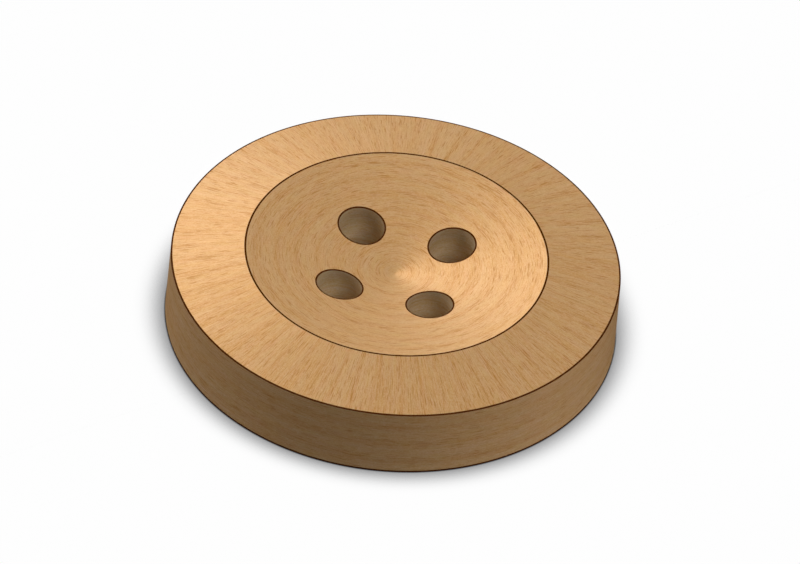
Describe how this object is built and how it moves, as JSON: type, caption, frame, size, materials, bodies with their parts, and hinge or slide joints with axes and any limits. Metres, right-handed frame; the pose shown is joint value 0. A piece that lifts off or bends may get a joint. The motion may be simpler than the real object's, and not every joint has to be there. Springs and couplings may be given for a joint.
{
  "type": "sew-on button",
  "caption": "Round turned wooden sew-on button with a flat back, a rim that slopes up to a crest, a dished centre and straight thread holes.",
  "frame": {"origin": "centre of the flat back face, on the button's axis", "axes": "+Z along the axis, out of the dished front face; X and Y along the sides of the square that the thread holes make"},
  "size_m": [0.03, 0.03, 0.006],
  "materials": {
    "beech": "satin oiled beech, fine turned grain, dark burnished arrises"
  },
  "bodies": {
    "root": {"button_body": "beech"}
  },
  "joints": []
}
